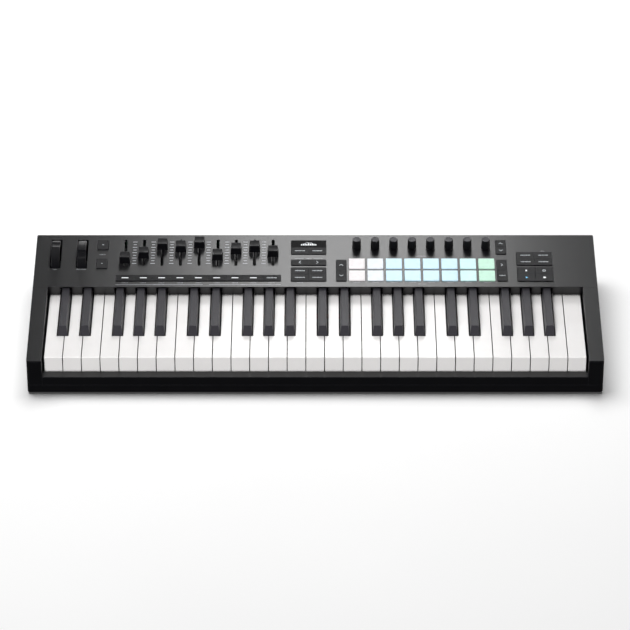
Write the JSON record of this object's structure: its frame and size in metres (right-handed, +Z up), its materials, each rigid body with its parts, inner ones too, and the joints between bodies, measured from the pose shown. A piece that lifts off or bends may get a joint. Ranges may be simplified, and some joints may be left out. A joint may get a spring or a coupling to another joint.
{
  "type": "midi keyboard controller",
  "caption": "Slim keyboard controller with hinged piano keys and a sloping panel of wheels, faders, encoders, pads and buttons.",
  "frame": {"origin": "on the table, under the middle of the case's rectangle", "axes": "+X to the player's right along the keys, +Y to the rear, +Z up"},
  "size_m": [0.724, 0.258, 0.084],
  "materials": {
    "case": "fine satin texture",
    "white_key": "satin gloss",
    "black_key": "satin",
    "knob": "satin",
    "wheel": "soft-touch",
    "button": "silicone, satin",
    "pad": "translucent silicone, lit from below",
    "window": "polished",
    "steel": "zinc plated",
    "board": "solder resist",
    "felt": "wool felt",
    "silicone": "moulded",
    "chassis": "moulded",
    "metal_can": "plain",
    "socket": "plain",
    "foot": "plain"
  },
  "bodies": {
    "case": {"bottom_case": "case", "top_case": "case", "cheeks_and_rail": "case", "key_chassis": "chassis", "pivot_rod": "steel", "key_springs": "steel", "felt_strips": "felt", "contact_domes": "silicone", "circuit_boards": "board", "display": "window", "fader_tracks": "metal_can", "encoder_bodies": "metal_can", "wheel_cradle": "chassis", "rear_sockets": "socket", "rubber_feet": "foot", "case_screws": "steel"},
    "key_c": {"key_c": "white_key"},
    "key_c_sharp": {"key_c_sharp": "black_key"},
    "key_d": {"key_d": "white_key"},
    "key_d_sharp": {"key_d_sharp": "black_key"},
    "key_e": {"key_e": "white_key"},
    "key_f": {"key_f": "white_key"},
    "key_f_sharp": {"key_f_sharp": "black_key"},
    "key_g": {"key_g": "white_key"},
    "key_g_sharp": {"key_g_sharp": "black_key"},
    "key_a": {"key_a": "white_key"},
    "key_a_sharp": {"key_a_sharp": "black_key"},
    "key_b": {"key_b": "white_key"},
    "pitch_wheel": {"pitch_wheel": "wheel"},
    "modulation_wheel": {"modulation_wheel": "wheel"},
    "fader_1": {"fader_1": "knob"},
    "fader_2": {"fader_2": "knob"},
    "fader_3": {"fader_3": "knob"},
    "fader_4": {"fader_4": "knob"},
    "fader_5": {"fader_5": "knob"},
    "fader_6": {"fader_6": "knob"},
    "fader_7": {"fader_7": "knob"},
    "fader_8": {"fader_8": "knob"},
    "fader_9": {"fader_9": "knob"},
    "encoder_1": {"encoder_1": "knob"},
    "encoder_2": {"encoder_2": "knob"},
    "encoder_3": {"encoder_3": "knob"},
    "encoder_4": {"encoder_4": "knob"},
    "encoder_5": {"encoder_5": "knob"},
    "encoder_6": {"encoder_6": "knob"},
    "encoder_7": {"encoder_7": "knob"},
    "encoder_8": {"encoder_8": "knob"},
    "pad_row_front": {"pad_row_front": "pad"},
    "pad_row_rear": {"pad_row_rear": "pad"},
    "octave_up_button": {"octave_up_button": "button"},
    "octave_down_button": {"octave_down_button": "button"},
    "fader_buttons": {"fader_buttons": "button"},
    "menu_buttons": {"menu_buttons": "button"},
    "track_buttons": {"track_buttons": "button"},
    "mode_buttons": {"mode_buttons": "button"},
    "pad_bank_buttons": {"pad_bank_buttons": "button"},
    "encoder_bank_buttons": {"encoder_bank_buttons": "button"},
    "scene_buttons": {"scene_buttons": "button"},
    "edit_buttons": {"edit_buttons": "button"},
    "transport_buttons": {"transport_buttons": "button"}
  },
  "joints": [
    {"name": "key_c_press", "type": "hinge", "parent": "case", "child": "key_c", "pos_m": [0, 0.045, 0.04], "axis": [1, 0, 0], "range_deg": [0, 3.56], "stiffness_Nm_per_rad": 1.2, "springref_deg": -20.63},
    {"name": "key_c_sharp_press", "type": "hinge", "parent": "case", "child": "key_c_sharp", "pos_m": [0, 0.045, 0.04], "axis": [1, 0, 0], "range_deg": [0, 3.56], "stiffness_Nm_per_rad": 1.2, "springref_deg": -20.63},
    {"name": "key_d_press", "type": "hinge", "parent": "case", "child": "key_d", "pos_m": [0, 0.045, 0.04], "axis": [1, 0, 0], "range_deg": [0, 3.56], "stiffness_Nm_per_rad": 1.2, "springref_deg": -20.63},
    {"name": "key_d_sharp_press", "type": "hinge", "parent": "case", "child": "key_d_sharp", "pos_m": [0, 0.045, 0.04], "axis": [1, 0, 0], "range_deg": [0, 3.56], "stiffness_Nm_per_rad": 1.2, "springref_deg": -20.63},
    {"name": "key_e_press", "type": "hinge", "parent": "case", "child": "key_e", "pos_m": [0, 0.045, 0.04], "axis": [1, 0, 0], "range_deg": [0, 3.56], "stiffness_Nm_per_rad": 1.2, "springref_deg": -20.63},
    {"name": "key_f_press", "type": "hinge", "parent": "case", "child": "key_f", "pos_m": [0, 0.045, 0.04], "axis": [1, 0, 0], "range_deg": [0, 3.56], "stiffness_Nm_per_rad": 1.2, "springref_deg": -20.63},
    {"name": "key_f_sharp_press", "type": "hinge", "parent": "case", "child": "key_f_sharp", "pos_m": [0, 0.045, 0.04], "axis": [1, 0, 0], "range_deg": [0, 3.56], "stiffness_Nm_per_rad": 1.2, "springref_deg": -20.63},
    {"name": "key_g_press", "type": "hinge", "parent": "case", "child": "key_g", "pos_m": [0, 0.045, 0.04], "axis": [1, 0, 0], "range_deg": [0, 3.56], "stiffness_Nm_per_rad": 1.2, "springref_deg": -20.63},
    {"name": "key_g_sharp_press", "type": "hinge", "parent": "case", "child": "key_g_sharp", "pos_m": [0, 0.045, 0.04], "axis": [1, 0, 0], "range_deg": [0, 3.56], "stiffness_Nm_per_rad": 1.2, "springref_deg": -20.63},
    {"name": "key_a_press", "type": "hinge", "parent": "case", "child": "key_a", "pos_m": [0, 0.045, 0.04], "axis": [1, 0, 0], "range_deg": [0, 3.56], "stiffness_Nm_per_rad": 1.2, "springref_deg": -20.63},
    {"name": "key_a_sharp_press", "type": "hinge", "parent": "case", "child": "key_a_sharp", "pos_m": [0, 0.045, 0.04], "axis": [1, 0, 0], "range_deg": [0, 3.56], "stiffness_Nm_per_rad": 1.2, "springref_deg": -20.63},
    {"name": "key_b_press", "type": "hinge", "parent": "case", "child": "key_b", "pos_m": [0, 0.045, 0.04], "axis": [1, 0, 0], "range_deg": [0, 3.56], "stiffness_Nm_per_rad": 1.2, "springref_deg": -20.63},
    {"name": "pitch_wheel_turn", "type": "hinge", "parent": "case", "child": "pitch_wheel", "pos_m": [-0.3356, 0.08936, 0.04946], "axis": [1, 0, 0], "range_deg": [-30, 30], "stiffness_Nm_per_rad": 0.05},
    {"name": "modulation_wheel_turn", "type": "hinge", "parent": "case", "child": "modulation_wheel", "pos_m": [-0.3016, 0.08936, 0.04946], "axis": [1, 0, 0], "range_deg": [-60, 0]},
    {"name": "fader_1_slide", "type": "slide", "parent": "case", "child": "fader_1", "axis": [0, 0.9964, 0.0845], "range_m": [-0.0039, 0.0411]},
    {"name": "fader_2_slide", "type": "slide", "parent": "case", "child": "fader_2", "axis": [0, 0.9964, 0.0845], "range_m": [-0.0139, 0.0311]},
    {"name": "fader_3_slide", "type": "slide", "parent": "case", "child": "fader_3", "axis": [0, 0.9964, 0.0845], "range_m": [-0.032, 0.013]},
    {"name": "fader_4_slide", "type": "slide", "parent": "case", "child": "fader_4", "axis": [0, 0.9964, 0.0845], "range_m": [-0.0272, 0.0178]},
    {"name": "fader_5_slide", "type": "slide", "parent": "case", "child": "fader_5", "axis": [0, 0.9964, 0.0845], "range_m": [-0.0355, 0.0095]},
    {"name": "fader_6_slide", "type": "slide", "parent": "case", "child": "fader_6", "axis": [0, 0.9964, 0.0845], "range_m": [-0.0097, 0.0353]},
    {"name": "fader_7_slide", "type": "slide", "parent": "case", "child": "fader_7", "axis": [0, 0.9964, 0.0845], "range_m": [-0.0225, 0.0225]},
    {"name": "fader_8_slide", "type": "slide", "parent": "case", "child": "fader_8", "axis": [0, 0.9964, 0.0845], "range_m": [-0.0272, 0.0178]},
    {"name": "fader_9_slide", "type": "slide", "parent": "case", "child": "fader_9", "axis": [0, 0.9964, 0.0845], "range_m": [-0.017, 0.028]},
    {"name": "encoder_1_turn", "type": "hinge", "parent": "case", "child": "encoder_1", "pos_m": [0.0537, 0.10081, 0.0695], "axis": [0, -0.0845, 0.9964], "continuous": true},
    {"name": "encoder_2_turn", "type": "hinge", "parent": "case", "child": "encoder_2", "pos_m": [0.0776, 0.10081, 0.0695], "axis": [0, -0.0845, 0.9964], "continuous": true},
    {"name": "encoder_3_turn", "type": "hinge", "parent": "case", "child": "encoder_3", "pos_m": [0.1015, 0.10081, 0.0695], "axis": [0, -0.0845, 0.9964], "continuous": true},
    {"name": "encoder_4_turn", "type": "hinge", "parent": "case", "child": "encoder_4", "pos_m": [0.1254, 0.10081, 0.0695], "axis": [0, -0.0845, 0.9964], "continuous": true},
    {"name": "encoder_5_turn", "type": "hinge", "parent": "case", "child": "encoder_5", "pos_m": [0.1493, 0.10081, 0.0695], "axis": [0, -0.0845, 0.9964], "continuous": true},
    {"name": "encoder_6_turn", "type": "hinge", "parent": "case", "child": "encoder_6", "pos_m": [0.1732, 0.10081, 0.0695], "axis": [0, -0.0845, 0.9964], "continuous": true},
    {"name": "encoder_7_turn", "type": "hinge", "parent": "case", "child": "encoder_7", "pos_m": [0.1971, 0.10081, 0.0695], "axis": [0, -0.0845, 0.9964], "continuous": true},
    {"name": "encoder_8_turn", "type": "hinge", "parent": "case", "child": "encoder_8", "pos_m": [0.221, 0.10081, 0.0695], "axis": [0, -0.0845, 0.9964], "continuous": true},
    {"name": "pad_row_front_press", "type": "slide", "parent": "case", "child": "pad_row_front", "axis": [0, 0.0845, -0.9964], "range_m": [0, 0.001], "stiffness_N_per_m": 2000, "springref_m": -0.0004},
    {"name": "pad_row_rear_press", "type": "slide", "parent": "case", "child": "pad_row_rear", "axis": [0, 0.0845, -0.9964], "range_m": [0, 0.001], "stiffness_N_per_m": 2000, "springref_m": -0.0004},
    {"name": "octave_up_button_press", "type": "slide", "parent": "case", "child": "octave_up_button", "axis": [0, 0.0845, -0.9964], "range_m": [0, 0.001], "stiffness_N_per_m": 1000, "springref_m": -0.0005},
    {"name": "octave_down_button_press", "type": "slide", "parent": "case", "child": "octave_down_button", "axis": [0, 0.0845, -0.9964], "range_m": [0, 0.001], "stiffness_N_per_m": 1000, "springref_m": -0.0005},
    {"name": "fader_buttons_press", "type": "slide", "parent": "case", "child": "fader_buttons", "axis": [0, 0.0845, -0.9964], "range_m": [0, 0.001], "stiffness_N_per_m": 1000, "springref_m": -0.0005},
    {"name": "menu_buttons_press", "type": "slide", "parent": "case", "child": "menu_buttons", "axis": [0, 0.0845, -0.9964], "range_m": [0, 0.001], "stiffness_N_per_m": 1000, "springref_m": -0.0005},
    {"name": "track_buttons_press", "type": "slide", "parent": "case", "child": "track_buttons", "axis": [0, 0.0845, -0.9964], "range_m": [0, 0.001], "stiffness_N_per_m": 1000, "springref_m": -0.0005},
    {"name": "mode_buttons_press", "type": "slide", "parent": "case", "child": "mode_buttons", "axis": [0, 0.0845, -0.9964], "range_m": [0, 0.001], "stiffness_N_per_m": 1000, "springref_m": -0.0005},
    {"name": "pad_bank_buttons_press", "type": "slide", "parent": "case", "child": "pad_bank_buttons", "axis": [0, 0.0845, -0.9964], "range_m": [0, 0.001], "stiffness_N_per_m": 1000, "springref_m": -0.0005},
    {"name": "encoder_bank_buttons_press", "type": "slide", "parent": "case", "child": "encoder_bank_buttons", "axis": [0, 0.0845, -0.9964], "range_m": [0, 0.001], "stiffness_N_per_m": 1000, "springref_m": -0.0005},
    {"name": "scene_buttons_press", "type": "slide", "parent": "case", "child": "scene_buttons", "axis": [0, 0.0845, -0.9964], "range_m": [0, 0.001], "stiffness_N_per_m": 1000, "springref_m": -0.0005},
    {"name": "edit_buttons_press", "type": "slide", "parent": "case", "child": "edit_buttons", "axis": [0, 0.0845, -0.9964], "range_m": [0, 0.001], "stiffness_N_per_m": 1000, "springref_m": -0.0005},
    {"name": "transport_buttons_press", "type": "slide", "parent": "case", "child": "transport_buttons", "axis": [0, 0.0845, -0.9964], "range_m": [0, 0.001], "stiffness_N_per_m": 1000, "springref_m": -0.0005}
  ]
}
